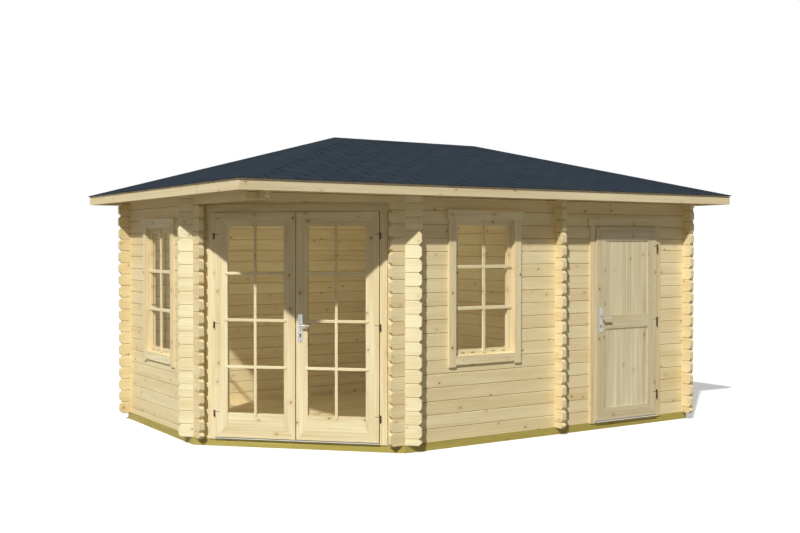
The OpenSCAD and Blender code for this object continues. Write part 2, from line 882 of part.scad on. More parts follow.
module frame_hinge(barrel, height) {
    translate([0, 0, -height / 2]) {
        cylinder(d = barrel, h = height / 2 - run_gap / 2);
        cylinder(d = pin_d, h = height - pin_short);
    }
    post_shank(barrel, height, 0);
}

module leaf_hinge(barrel, height) {
    difference() {
        union() {
            translate([0, 0, run_gap / 2]) cylinder(d = barrel, h = height / 2 - run_gap / 2);
            leaf_shank(barrel, height, 0);
        }
        cylinder(d = pin_d + 2 * run_gap, h = height / 2 - pin_short + run_gap);
    }
}

module frame_hinges() {
    color(dark_iron) {
        on_wall("diagonal_left") for (side = [0, 1])
            mirror([side, 0, 0]) pair_hinges() frame_hinge(pair_barrel, pair_hinge_h);
        on_wall("front") store_hinges() frame_hinge(store_barrel, store_hinge_h);
    }
}

module left_leaf_hinges() {
    color(dark_iron) on_wall("diagonal_left") pair_hinges() leaf_hinge(pair_barrel, pair_hinge_h);
}

module right_leaf_hinges() {
    color(dark_iron) on_wall("diagonal_left") mirror([1, 0, 0])
        pair_hinges() leaf_hinge(pair_barrel, pair_hinge_h);
}

module store_leaf_hinges() {
    color(dark_iron) on_wall("front") store_hinges() leaf_hinge(store_barrel, store_hinge_h);
}

// Lever handles: one spindle carries the levers outside and inside
pair_lever_x = meet_gap / 2 + pair_backset;
store_lever_x = store_low[0] + store_backset;

module spindle(x, z, radius) {
    translate([x, leaf_front - lever_out, z]) rotate([-90, 0, 0])
        cylinder(r = radius, h = leaf_t + 2 * lever_out);
}

module lever(x, z) {
    spindle(x, z, lever_d / 2 - run_gap);
    for (y = [leaf_front - lever_out, leaf_back + lever_out])
        translate([x, y, z]) {
            rotate([0, 90, 0]) cylinder(d = lever_d, h = lever_len - lever_d);
            sphere(d = lever_d);
            translate([lever_len - lever_d, 0, 0]) sphere(d = lever_d);
        }
}

module rounded(size, radius) {
    square([size[0] - 2 * radius, size[1]], center = true);
    square([size[0], size[1] - 2 * radius], center = true);
    for (sx = [-1, 1], sz = [-1, 1])
        translate([sx * (size[0] / 2 - radius), sz * (size[1] / 2 - radius)]) circle(radius);
}

module lock_plates(x, z) {
    mid_z = z - plate_drop + plate_h / 2;
    difference() {
        for (y = [leaf_front - seat_gap, leaf_back + seat_gap + plate_t])
            translate([x, y, mid_z]) rotate([90, 0, 0]) linear_extrude(plate_t)
                rounded([plate_w, plate_h], plate_round);
        spindle(x, z, lever_d / 2 + run_gap);
    }
}

module pair_lock_plates() {
    color(steel) on_wall("diagonal_left") lock_plates(pair_lever_x, pair_lever_z);
}

module pair_lever() {
    color(steel) on_wall("diagonal_left") lever(pair_lever_x, pair_lever_z);
}

module store_lock_plates() {
    color(steel) on_wall("front") lock_plates(store_lever_x, store_lever_z);
}

module store_lever() {
    color(steel) on_wall("front") lever(store_lever_x, store_lever_z);
}

// A window round x = 0: frame with a falling sill, sash, and outside boards
module window_box() {
    half = window_w / 2 + trim_lap - seat_gap;
    low = window_z - trim_lap + seat_gap;
    high = window_top + trim_lap - seat_gap;
    sill_z = low + box_w;
    back = log_t + box_in;
    difference() {
        block([-half, 0, low], [half, back, high]);
        block([box_w - half, -over, sill_z], [half - box_w, back + over, high - box_w]);
        along(box_w - half, half - box_w)
            polygon([[-over, sill_z + over], [sash_in, sill_z + over], [sash_in, sill_z],
                [0, sill_z - sill_fall], [-over, sill_z - sill_fall]]);
    }
}

module top_trim() {
    half = window_w / 2 + trim_w + trim_ear;
    high = window_top + trim_head;
    inset = trim_chamfer;
    translate([0, -seat_gap, 0]) rotate([90, 0, 0]) linear_extrude(trim_t + trim_front - seat_gap)
        polygon([[-half, window_top], [half, window_top], [half, high - inset], [half - inset, high],
            [inset - half, high], [-half, high - inset]]);
}

module window_pieces() {
    side = window_w / 2;
    low = window_z - trim_w;
    window_box();
    grooved_frame(sash_low, sash_high, glass_low, glass_high, sash_in, sash_t, glass_t);
    for (sx = [0, 1])
        mirror([sx, 0, 0])
            block([side, -trim_t, low - trim_leg], [side + trim_w, -seat_gap, window_top - seat_gap]);
    block([seat_gap - side, -trim_t, low], [side - seat_gap, -seat_gap, window_z]);
    top_trim();
}

module window_glass() {
    groove_fill(glass_low, glass_high, sash_in, sash_t, glass_t);
}

module front_window() {
    color(pale_pine) on_wall("front") translate([front_window_x, 0, 0]) window_pieces();
}

module front_window_glass() {
    color(clear_glass) on_wall("front") translate([front_window_x, 0, 0]) window_glass();
}

module left_window() {
    color(pale_pine) on_wall("left") translate([left_window_x, 0, -left_window_fall]) window_pieces();
}

module left_window_glass() {
    color(clear_glass) on_wall("left") translate([left_window_x, 0, -left_window_fall]) window_glass();
}

base_beams();
floor_joists();
main_floor();
store_floor();
left_wall();
back_wall();
right_wall();
partition_wall();
front_wall_left();
front_wall_right();
front_wall_top();
diagonal_wall_left();
diagonal_wall_right();
diagonal_wall_top();
ridge_beam();
hip_rafters();
roof_boards("front", wall_w / 2);  // roof_boards_front
roof_boards("back", wall_w / 2);  // roof_boards_back
roof_boards("left", wall_d / 2);  // roof_boards_left
roof_boards("right", wall_d / 2);  // roof_boards_right
shingles("front", wall_w / 2);  // shingles_front
shingles("back", wall_w / 2);  // shingles_back
shingles("left", wall_d / 2);  // shingles_left
shingles("right", wall_d / 2);  // shingles_right
fascia_boards();
pair_frame();
pair_threshold();
left_leaf();
right_leaf();
left_leaf_glass();
right_leaf_glass();
store_frame();
store_threshold();
store_leaf();
store_panels();
frame_hinges();
left_leaf_hinges();
right_leaf_hinges();
store_leaf_hinges();
pair_lock_plates();
pair_lever();
store_lock_plates();
store_lever();
front_window();
front_window_glass();
left_window();
left_window_glass();
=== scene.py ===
# %% [markdown]
# A five-cornered log cabin: notched pine logs, a glazed double door across one corner, a store
# with a boarded door, and a low hipped roof with dark shingles. The solids come packed, in metres,
# with +X along the front and +Y towards the back. This lesson gives them their finishes and adds
# the small pieces that are too many for solids: boards, shingles, glazing bars and fixings.

# %% Load the packed cabin
import math
import bmesh
import bpy
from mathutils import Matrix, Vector


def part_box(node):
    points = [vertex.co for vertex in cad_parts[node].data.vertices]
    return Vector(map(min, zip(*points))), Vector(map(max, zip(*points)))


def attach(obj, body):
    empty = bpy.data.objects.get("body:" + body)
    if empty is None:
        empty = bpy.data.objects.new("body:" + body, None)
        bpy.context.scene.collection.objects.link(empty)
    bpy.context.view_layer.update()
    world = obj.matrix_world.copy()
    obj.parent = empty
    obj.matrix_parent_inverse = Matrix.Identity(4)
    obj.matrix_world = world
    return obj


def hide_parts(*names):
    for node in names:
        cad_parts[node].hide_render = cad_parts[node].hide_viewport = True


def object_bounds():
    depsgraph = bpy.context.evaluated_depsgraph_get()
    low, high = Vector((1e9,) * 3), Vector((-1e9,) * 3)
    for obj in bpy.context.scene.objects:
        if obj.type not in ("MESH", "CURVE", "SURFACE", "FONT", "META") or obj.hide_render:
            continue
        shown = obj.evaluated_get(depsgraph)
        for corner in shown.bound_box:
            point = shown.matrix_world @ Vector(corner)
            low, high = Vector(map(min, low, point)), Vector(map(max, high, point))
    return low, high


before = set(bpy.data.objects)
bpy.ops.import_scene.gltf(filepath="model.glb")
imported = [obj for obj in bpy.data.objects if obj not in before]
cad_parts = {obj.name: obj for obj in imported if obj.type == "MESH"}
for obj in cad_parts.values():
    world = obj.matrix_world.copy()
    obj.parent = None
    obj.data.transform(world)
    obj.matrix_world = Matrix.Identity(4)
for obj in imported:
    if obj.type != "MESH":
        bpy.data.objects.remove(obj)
cad_low, cad_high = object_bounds()
UP = Vector((0, 0, 1))
print("solids:", len(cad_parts), "box:", [round(v, 3) for v in cad_high - cad_low])

# %% [markdown]
# The camera stands where a person with the picture in hand would stand: off the cut corner, at eye
# height, looking almost level. Its place and lens were worked out from the corners of the cabin,
# so they are plain numbers here. Almost level and without shift, it keeps the log walls upright.

# %% Camera
photo_camera = bpy.data.objects.new("photo_camera", bpy.data.cameras.new("photo_camera"))
photo_camera.data.sensor_width = 36.0
photo_camera.data.lens = 48.08
photo_camera.location = (-5.791, -8.819, 1.7035)
photo_camera.rotation_euler = (math.radians(88.907), 0.0, math.radians(-32.895))
bpy.context.scene.collection.objects.link(photo_camera)
bpy.context.scene.camera = photo_camera
camera_way = photo_camera.location - (cad_low + cad_high) / 2
print("camera", round(camera_way.length, 2), "m from the middle")

# %% [markdown]
# A shader is a net of nodes, and long nets are hard to read as a list of links. So one small class
# wraps an output socket, and sums on it add Math nodes: `1 - mask` reads as it would on paper.

# %% A wire that takes sums
class Wire:
    """One output of a node. A sum with wires adds Math nodes."""

    def __init__(self, bench, socket):
        self.bench, self.socket = bench, socket

    def math(self, operation, *terms):
        """A Math node that takes this wire first."""
        return sum_node(self.bench, operation, self, *terms)

    def __add__(self, other):
        return self.math("ADD", other)

    def __sub__(self, other):
        return self.math("SUBTRACT", other)

    def __rsub__(self, other):
        return sum_node(self.bench, "SUBTRACT", other, self)

    def __mul__(self, other):
        return self.math("MULTIPLY", other)

    def __truediv__(self, other):
        return self.math("DIVIDE", other)

    def __gt__(self, other):
        return self.math("GREATER_THAN", other)

    def __lt__(self, other):
        return self.math("LESS_THAN", other)

    __radd__ = __add__
    __rmul__ = __mul__


print("sums:", [name for name in vars(Wire) if name.startswith("__r")], "and their plain forms")

# %% [markdown]
# All other nodes come from one method. It first sets what the node is, because a setting such as
# the kind of a Mix node changes its sockets, and then gives the sockets their values or wires.

# %% A bench that adds nodes
class Bench:
    """The node tree of one finish, empty at the start."""

    def __init__(self, tree):
        self.tree = tree
        tree.nodes.clear()

    def node(self, kind, settings=(), sockets=()):
        """Adds a node: settings first, then socket values or wires. Gives a picker of outputs."""
        made = self.tree.nodes.new(kind)
        for name, value in dict(settings).items():
            setattr(made, name, value)
        for name, value in dict(sockets).items():
            if isinstance(value, Wire):
                self.tree.links.new(value.socket, made.inputs[name])
            else:
                made.inputs[name].default_value = value
        return lambda output=0: Wire(self, made.outputs[output])


def sum_node(bench, operation, *terms):
    """A Math node on values and wires."""
    return bench.node("ShaderNodeMath", {"operation": operation}, dict(enumerate(terms)))()


def clamped(wire):
    """The wire held between 0 and 1."""
    settings = {"operation": "ADD", "use_clamp": True}
    return wire.bench.node("ShaderNodeMath", settings, {0: wire, 1: 0.0})()


print("node:", Bench.node.__doc__)

# %% [markdown]
# The light is a soft low sun over the viewer's left shoulder, so the eaves throw a shadow on the
# walls and the two eaves meet in a pointed shadow on the double door. A sun disc three times as
# wide as the real one softens the edges, and a weak, very wide one behind keeps the back from
# going dark.

# %% Suns
SUN_WAY = Vector((0.77, 0.63, -0.85))
BACK_WAY = Vector((-0.7, -0.6, -0.75))


def sun(name, way, energy, wide):
    """A sun that shines a way, with a disc so many degrees wide."""
    lamp = bpy.data.objects.new(name, bpy.data.lights.new(name, "SUN"))
    lamp.data.energy = energy
    lamp.data.angle = math.radians(wide)
    lamp.rotation_euler = way.to_track_quat("-Z", "Y").to_euler()
    bpy.context.scene.collection.objects.link(lamp)


bpy.context.scene.view_settings.view_transform = "Standard"
sun("soft_sun", SUN_WAY, 3.05, 1.5)
sun("back_sun", BACK_WAY, 0.6, 20.0)
print("sun height", round(math.degrees(math.asin(-SUN_WAY.normalized().z)), 1), "degrees")

# %% [markdown]
# The world fills the shade with weak white light, yet shows plain white to the camera, in mirrors
# and through glass. A ring of lamps could fill the shade too, but would add shadows of its own. A
# weak lamp in the main room stands for daylight from all its windows. Its light is a little green,
# because the pine that it bounces off warms it.

# %% World and room lamp
FILL = 0.185


def seen_ray(bench):
    """1 on rays that show the background: straight, mirrored or through glass."""
    path = bench.node("ShaderNodeLightPath")
    return clamped(path("Is Camera Ray") + path("Is Glossy Ray") + path("Is Transmission Ray"))


studio = bpy.data.worlds.new("studio")
studio.use_nodes = True
bpy.context.scene.world = studio
sky = Bench(studio.node_tree)
sky_light = sky.node("ShaderNodeBackground", {},
                     {"Color": (1, 1, 1, 1), "Strength": FILL + (1 - FILL) * seen_ray(sky)})
sky.node("ShaderNodeOutputWorld", {}, {"Surface": sky_light()})

room_lamp = bpy.data.objects.new("room_lamp", bpy.data.lights.new("room_lamp", "POINT"))
room_lamp.data.energy = 8.3
room_lamp.data.color = (0.86, 1.0, 0.94)
room_lamp.data.shadow_soft_size = 0.4
room_lamp.location = (-0.75, 0.1, 1.75)
room_lamp.visible_camera = False
room_lamp.visible_glossy = False
bpy.context.scene.collection.objects.link(room_lamp)
print("fill", FILL, "room lamp", round(room_lamp.data.energy, 1), "W")

# %% [markdown]
# Colours are easiest to judge as a screen gives them, so they are written that way and turned into
# the linear ones that a shader takes. Every finish ends in the same shader, and two helpers open
# and close it. A Math node would turn a colour grey, so colours are mixed by a Mix node.

# %% Colours and finishes
def screen_colour(red, green, blue):
    """A colour as a screen gives it, 0 to 255, turned into the linear one that a shader takes."""
    parts = (part / 255 for part in (red, green, blue))
    return (*(p / 12.92 if p <= 0.04045 else ((p + 0.055) / 1.055) ** 2.4 for p in parts), 1.0)


def blend(bench, first, second, share):
    """A Mix node: the first colour, with a share of the second."""
    return bench.node("ShaderNodeMix", {"data_type": "RGBA"}, {0: share, 6: first, 7: second})(2)


def new_finish(name):
    """A new material and the bench for its nodes."""
    material = bpy.data.materials.new(name)
    material.use_nodes = True
    return material, Bench(material.node_tree)


def close_finish(bench, sockets):
    """Ends a finish with the shader that all of them use."""
    shader = bench.node("ShaderNodeBsdfPrincipled", {}, sockets)
    bench.node("ShaderNodeOutputMaterial", {}, {"Surface": shader()})


print("a screen's 128 is", round(screen_colour(128, 128, 128)[0], 3), "to a shader")

# %% [markdown]
# The floor is one large pale sheet. Seen by the camera it is white and keeps the cabin's shadow: a
# little glow, for rays that show it, makes up for the weak fill. For light that bounces it is
# darker, or it would light the underside of the eaves.

# %% Floor
FLOOR_REACH = 60.0
FLOOR_DROP = 0.001
pale_floor, bench = new_finish("pale_floor")
shown = seen_ray(bench)
floor_colour = blend(bench, screen_colour(135, 135, 135), screen_colour(252, 252, 252), shown)
floor_glow = blend(bench, (0.0, 0.0, 0.0, 1.0), (0.23, 0.23, 0.23, 1.0), shown)
close_finish(bench, {"Base Color": floor_colour, "Roughness": 0.9, "Specular IOR Level": 0.0,
                     "Emission Color": floor_glow, "Emission Strength": 1.0})

floor_mesh = bpy.data.meshes.new("studio_floor")
floor_mesh.from_pydata([(x * FLOOR_REACH, y * FLOOR_REACH, -FLOOR_DROP)
                        for x, y in ((-1, -1), (1, -1), (1, 1), (-1, 1))], [], [(0, 1, 2, 3)])
floor_mesh.materials.append(pale_floor)
studio_floor = bpy.data.objects.new("studio_floor", floor_mesh)
bpy.context.scene.collection.objects.link(studio_floor)
print("floor", 2 * FLOOR_REACH, "m wide")

# %% [markdown]
# Planed pine is pale between its rings, warmer in them, and has small brown knots that the rings
# bend round. A picture of wood would blur and repeat, so the grain is worked out at every point
# from two lengths: how far along the grain it lies, and how far across. Noise drawn out along the
# grain gives broad drift, streaks and fibre, and a few cells of an uneven net give a knot each.

# %% Pine
PINE_PALE = screen_colour(251, 235, 187)
PINE_WARM = screen_colour(228, 201, 145)
PINE_KNOT = screen_colour(122, 80, 44)
RINGS_A_METRE = 44.0
KNOTS_ALONG, KNOTS_ACROSS = 6.5, 9.0
KNOT_RARITY = 0.81
KNOT_HALO = 0.3
GRAIN_MIDDLE = 0.71


def vector(bench, x, y, z):
    """Three values or wires as one vector."""
    return bench.node("ShaderNodeCombineXYZ", {}, {0: x, 1: y, 2: z})()


def noise(bench, place, scale=1.0, detail=2.0):
    """Noise with so many features to a unit."""
    return bench.node("ShaderNodeTexNoise", {},
                      {"Vector": place, "Scale": scale, "Detail": detail})()


def bumped(bench, height, strength, distance):
    """The normal of a face with a slight relief."""
    return bench.node("ShaderNodeBump", {},
                      {"Strength": strength, "Distance": distance, "Height": height})()


def pine(bench, along, across, seed, lean, colours):
    """Colour, roughness and height of pine; lean shifts it from pale to warm."""
    pale, warm, brown = colours
    drift = noise(bench, vector(bench, along * 0.8, across * 11.0, seed * 9.0))
    streak = noise(bench, vector(bench, along * 2.5, across * 55.0, seed * 7.0))
    fibre = noise(bench, vector(bench, along * 5.0, across * 300.0, seed * 5.0))
    cell = vector(bench, along * KNOTS_ALONG + seed * 37.0,
                  across * KNOTS_ACROSS + seed * 13.0, 0.0)
    net = bench.node("ShaderNodeTexVoronoi", {"voronoi_dimensions": "2D"},
                     {"Vector": cell, "Scale": 1.0})
    draw = bench.node("ShaderNodeSeparateColor", {}, {0: net("Color")})
    knotted = draw("Red") > KNOT_RARITY
    radius = draw("Green") * 0.05 + 0.03
    heart = knotted * clamped((radius - net("Distance")) / radius * 2.5)
    halo = knotted * clamped(1 - net("Distance") / KNOT_HALO)
    turn = (across * RINGS_A_METRE + drift * 3.0 + halo * halo * 1.5) * (2 * math.pi)
    rings = turn.math("SINE") * 0.5 + 0.5
    grain = drift * 1.2 + streak * 0.7 + rings * 0.12 + fibre * 0.2 + halo * 0.35
    tone = clamped(grain + lean - GRAIN_MIDDLE)
    colour = blend(bench, blend(bench, pale, warm, tone), brown, heart * 0.9)
    return colour, fibre * 0.16 + 0.5, fibre * 0.5 + rings * 0.3 - heart * 0.3


def close_wood(bench, colour, roughness, height):
    """Ends a wooden finish, with its grain as a slight bump."""
    close_finish(bench, {"Base Color": colour, "Roughness": roughness,
                         "Normal": bumped(bench, height, 0.3, 0.0015), "Specular IOR Level": 0.3})


print("pine: rings", round(1000 / RINGS_A_METRE), "mm apart, knot cells",
      round(1000 / KNOTS_ACROSS), "mm")

# %% [markdown]
# The cabin has walls along its front, along its sides and across the cut corner. A finish needs to
# know how far a point lies along such a way, which a dot product tells. The solids keep their
# shape, so to dress one is only to put a finish in its slots.

# %% Ways along the walls
HALF_TURN = math.sqrt(0.5)
ALONG_FRONT = Vector((1, 0, 0))
ALONG_SIDE = Vector((0, 1, 0))
ALONG_CORNER = Vector((HALF_TURN, -HALF_TURN, 0))


def dot(bench, wire, way):
    """How far a vector wire reaches along a way."""
    return bench.node("ShaderNodeVectorMath", {"operation": "DOT_PRODUCT"},
                      {0: wire, 1: way})("Value")


def dress(finish, *names):
    """Gives solids a finish."""
    for name in names:
        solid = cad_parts[name]
        if not solid.material_slots:
            solid.data.materials.append(finish)
        for place in solid.material_slots:
            place.material = finish


print("the cut corner turns", round(math.degrees(ALONG_FRONT.angle(ALONG_CORNER))), "degrees")

# %% [markdown]
# A wall is a stack of logs, and no two logs come from the same tree. The course number is the
# height divided by the height of a log, and white noise of that number gives every log its own
# tone and its own stretch of grain. Crossing walls sit half a log apart, so their courses count
# from another level. Where a face looks along the log, it shows the rings of its end grain, and
# each seam between two logs has a thin line of painted shade. The logs of the cut corner face the
# sun, so they get a paler copy of the pine as painted light.

# %% Log walls
BASE_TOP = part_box("base_beams")[1].z
LOG_HIGH = 0.114
WALL_STEP = 0.5
SEAM_REACH, SEAM_DEPTH = 0.004, 0.6
SEAM_SHADE = screen_colour(116, 84, 48)
END_TURN = 0.65
END_PALE, END_RING = screen_colour(247, 231, 183), screen_colour(224, 196, 141)
YEAR_RING = 0.006


def log_finish(name, way, level, colours, lean):
    """Pine for logs that run along a way, in courses that start a part of a log lower."""
    finish, bench = new_finish(name)
    seat = bench.node("ShaderNodeTexCoord")
    along = dot(bench, seat("Object"), way)
    depth = dot(bench, seat("Object"), way.cross(UP))
    high = dot(bench, seat("Object"), UP)
    course = ((high - BASE_TOP) / LOG_HIGH + level).math("FLOOR")
    wall = (depth / WALL_STEP).math("FLOOR")
    lot = bench.node("ShaderNodeTexWhiteNoise", {"noise_dimensions": "2D"},
                     {"Vector": vector(bench, course, wall, 0.0)})()
    colour, roughness, height = pine(bench, along, high, lot, lot * 0.34 + lean, colours)
    end = dot(bench, seat("Normal"), way).math("ABSOLUTE") > END_TURN
    rise = high - (course - level + lot) * LOG_HIGH - BASE_TOP
    reach = depth - (wall + lot) * WALL_STEP
    heart_way = (rise * rise + reach * reach).math("SQRT")
    year = (heart_way * (2 * math.pi / YEAR_RING)).math("SINE") * 0.5 + 0.5
    end_colour = blend(bench, END_PALE, END_RING, year * 0.4)
    up = (high - BASE_TOP) / LOG_HIGH + level
    off = (up - (up + 0.5).math("FLOOR")).math("ABSOLUTE") * LOG_HIGH
    seam = clamped(1 - off / SEAM_REACH) * SEAM_DEPTH
    faced = blend(bench, blend(bench, colour, end_colour, end), SEAM_SHADE, seam)
    close_wood(bench, faced, roughness, height)
    return finish


LOG_PINE = (PINE_PALE, PINE_WARM, PINE_KNOT)
# Paler pine for the cut corner, which faces the sun: painted light.
SUNLIT_CORNER_PINE = (screen_colour(255, 244, 200), PINE_WARM, PINE_KNOT)
FRONT_LOGS = log_finish("front_and_back_logs", ALONG_FRONT, 0.0, LOG_PINE, -0.17)
SIDE_LOGS = log_finish("side_and_partition_logs", ALONG_SIDE, 0.5, LOG_PINE, -0.17)
CORNER_LOGS = log_finish("cut_corner_logs_painted_sunlit", ALONG_CORNER, 0.0, SUNLIT_CORNER_PINE, -0.3)
HALF_CORNER_LOGS = log_finish("cut_corner_half_logs_painted_sunlit", ALONG_CORNER, 0.5, SUNLIT_CORNER_PINE, -0.3)
dress(FRONT_LOGS, "front_wall_left", "front_wall_right", "front_wall_top", "back_wall")
dress(SIDE_LOGS, "left_wall", "right_wall", "partition_wall")
dress(CORNER_LOGS, "diagonal_wall_left", "diagonal_wall_top")
dress(HALF_CORNER_LOGS, "diagonal_wall_right")
print("courses from", round(BASE_TOP, 3), "every", LOG_HIGH)

# %% [markdown]
# Doors and windows are joiner's work: stiles stand, rails lie, and the grain shows which is which.
# A mask says where a rail is, and swaps the two grain lengths there. The length across the grain,
# counted in steps wider than any rail, also gives each piece its own stretch of wood. The leaves
# are mitred at their corners, so the mask compares how deep a point lies in the stile and in the
# rail.

# %% Joinery of the double door
LEAF_PINE = (screen_colour(255, 241, 196), screen_colour(214, 184, 126), PINE_KNOT)
STILES = (0.112, 0.101)
RAILS = (0.118, 0.105)
PLANK_STEP = 0.571


def middle(name):
    """Middle of a solid's box."""
    low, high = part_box(name)
    return (low + high) / 2


def joinery_finish(name, way, mid, rail_mask, colours, lean):
    """Pine whose grain stands, and lies along the way where rail_mask says; mid is its middle."""
    finish, bench = new_finish(name)
    place = bench.node("ShaderNodeTexCoord")("Object")
    level, high = dot(bench, place, way) - mid, dot(bench, place, UP)
    rail = rail_mask(level, high)
    along = high + (level - high) * rail
    across = level + high - along
    seed = rail * 0.37 + (across / PLANK_STEP).math("FLOOR") * 0.11 + 0.2
    close_wood(bench, *pine(bench, along, across, seed, lean, colours))
    return finish


def mitred_rails(left, right, bottom, top, stiles, rails):
    """A mask for the rails of a mitred leaf, from its edges and the widths of its pieces."""
    def mask(level, high):
        stile = ((level - left) / stiles[0]).math("MINIMUM", (right - level) / stiles[1])
        rail = ((top - high) / rails[0]).math("MINIMUM", (high - bottom) / rails[1])
        return stile > rail.math("MINIMUM", 1.0)
    return mask


door_middle = middle("pair_frame").dot(ALONG_CORNER)
LEAF_BOTTOM, LEAF_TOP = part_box("right_leaf")[0].z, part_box("right_leaf")[1].z
LEAF_INNER, LEAF_OUTER = 0.0035, 0.7151
for name, left, right, stiles in (
        ("left_leaf", -LEAF_OUTER, -LEAF_INNER, STILES),
        ("right_leaf", LEAF_INNER, LEAF_OUTER, STILES[::-1])):
    rails = mitred_rails(left, right, LEAF_BOTTOM, LEAF_TOP, stiles, RAILS)
    leaf_finish = joinery_finish(name + "_pine", ALONG_CORNER, door_middle, rails, LEAF_PINE, -0.08)
    dress(leaf_finish, name)
dress(joinery_finish("pair_frame_pine", ALONG_CORNER, door_middle,
                     lambda level, high: high > LEAF_TOP, LEAF_PINE, -0.1), "pair_frame")
print("double door, middle at", round(door_middle, 3),
      "leaf", round(LEAF_BOTTOM, 3), "to", round(LEAF_TOP, 3))

# %% [markdown]
# The store door is a plainer one, a shade greyer than the logs: a mitred leaf with a lock rail and
# two panels of beaded boards that stand upright. The same joinery finish takes other edges, and
# the panels get a finish of boards side by side. The frame is of the double door's wood.

# %% Joinery of the store door
STORE_PINE = (screen_colour(246, 233, 196), screen_colour(204, 183, 138), PINE_KNOT)
STORE_STILES = (0.115, 0.115)
STORE_RAILS = (0.130, 0.118)
PANEL_BOARD = 0.0694
store_middle = middle("store_leaf").x
store_low, store_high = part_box("store_leaf")
store_half = (store_high.x - store_low.x) / 2
store_rails = mitred_rails(-store_half, store_half, store_low.z, store_high.z,
                           STORE_STILES, STORE_RAILS)
dress(joinery_finish("store_leaf_pine", ALONG_FRONT, store_middle, store_rails,
                     STORE_PINE, 0.15), "store_leaf")
dress(joinery_finish("store_frame_pine", ALONG_FRONT, store_middle,
                     lambda level, high: high > store_high.z, LEAF_PINE, 0.1), "store_frame")


def panel_finish(board_wide):
    """Upright boards side by side, each with its own grain."""
    finish, bench = new_finish("store_panel_boards")
    place = bench.node("ShaderNodeTexCoord")("Object")
    level, high = dot(bench, place, ALONG_FRONT), dot(bench, place, UP)
    board = ((level - middle("store_panels").x) / board_wide).math("FLOOR")
    lot = bench.node("ShaderNodeTexWhiteNoise", {"noise_dimensions": "1D"}, {"W": board})()
    close_wood(bench, *pine(bench, high, level, lot, lot * 0.14 - 0.02, STORE_PINE))
    return finish


dress(panel_finish(PANEL_BOARD), "store_panels")
print("store door", round(2 * store_half, 3), "m wide")

# %% [markdown]
# A window is a box set in the wall, a sash in the box and boards over the gap outside. The boards
# at top and bottom lie, the ones at the sides stand, and the sash is mitred. All of it is one
# solid, so the joinery finish gets a mask that tells the boards apart by their distance from the
# pane.

# %% Joinery of the windows
WINDOW_HALF_WIDE, WINDOW_HALF_HIGH = 0.3175, 0.580


def window_rails(mid_high):
    """A mask for the lying pieces of a window."""
    def mask(level, high):
        out = level.math("ABSOLUTE") - WINDOW_HALF_WIDE
        over = (high - mid_high).math("ABSOLUTE") - WINDOW_HALF_HIGH
        top = high > mid_high + WINDOW_HALF_HIGH
        return top.math("MAXIMUM", (over > out) * (out < 0.0))
    return mask


for name, way in (("front_window", ALONG_FRONT), ("left_window", ALONG_SIDE)):
    pane = middle(name + "_glass")
    dress(joinery_finish(name + "_pine", way, pane.dot(way), window_rails(pane.z),
                         LEAF_PINE, -0.1), name)
    print(name, "pane middle", [round(v, 3) for v in pane])

# %% [markdown]
# The beams on the ground are soaked against rot, which turns pine olive. They are sawn, not
# planed. They run several ways round the cabin. A finish for each way would do, but one that
# follows the face is shorter: its grain runs level, across the face's own normal.

# %% Soaked beams, roof timbers and the fascia
SOAKED_PINE = (screen_colour(198, 184, 100), screen_colour(166, 148, 66),
               screen_colour(110, 84, 40))
ROOF_PINE = (screen_colour(250, 233, 190), screen_colour(226, 200, 148), PINE_KNOT)


def round_finish(name, colours, lean):
    """Pine for timbers that run round the cabin, with grain along whichever way a face lies."""
    finish, bench = new_finish(name)
    seat = bench.node("ShaderNodeTexCoord")
    way = bench.node("ShaderNodeVectorMath", {"operation": "CROSS_PRODUCT"},
                     {0: UP, 1: seat("Normal")})
    way = bench.node("ShaderNodeVectorMath", {"operation": "NORMALIZE"}, {0: way()})
    along = dot(bench, seat("Object"), way())
    lot = dot(bench, way(), Vector((0.31, 0.17, 0.0)))
    close_wood(bench, *pine(bench, along, dot(bench, seat("Object"), UP), lot, lean, colours))
    return finish


dress(round_finish("soaked_beams", SOAKED_PINE, 0.1), "base_beams", "floor_joists")
dress(round_finish("roof_pine", ROOF_PINE, 0.0), "ridge_beam", "hip_rafters", "fascia_boards")
print("base beams to", round(BASE_TOP, 3), "m")

# %% [markdown]
# Thresholds are drawn aluminium, brushed along their length. Lock plates and levers are satin
# metal. The hinges are plain steel with a dark brown coat, worn a little lighter here and there. A
# picture of scratches would need a file, so noise drawn out along the brush makes the streaks.

# %% Metals
def brushed_finish(name, way, colour, streak, roughness):
    """Bright metal with fine streaks along a way."""
    finish, bench = new_finish(name)
    place = bench.node("ShaderNodeTexCoord")("Object")
    along, high = dot(bench, place, way), dot(bench, place, UP)
    depth = dot(bench, place, way.cross(UP))
    brush = noise(bench, vector(bench, along * 12.0, high * 900.0, depth * 900.0))
    close_finish(bench, {"Base Color": blend(bench, colour, streak, brush), "Metallic": 1.0,
                         "Roughness": brush * 0.2 + roughness})
    return finish


def coated_finish(name, coat, worn):
    """Steel with a dark coat that wear has thinned in spots."""
    finish, bench = new_finish(name)
    place = bench.node("ShaderNodeTexCoord")("Object")
    speck = noise(bench, place, 160.0, 4.0)
    colour = blend(bench, coat, worn, clamped(speck * 4 - 1.9))
    close_finish(bench, {"Base Color": colour, "Metallic": 0.4, "Roughness": speck * 0.3 + 0.35,
                         "Normal": bumped(bench, speck, 0.2, 0.0006)})
    return finish


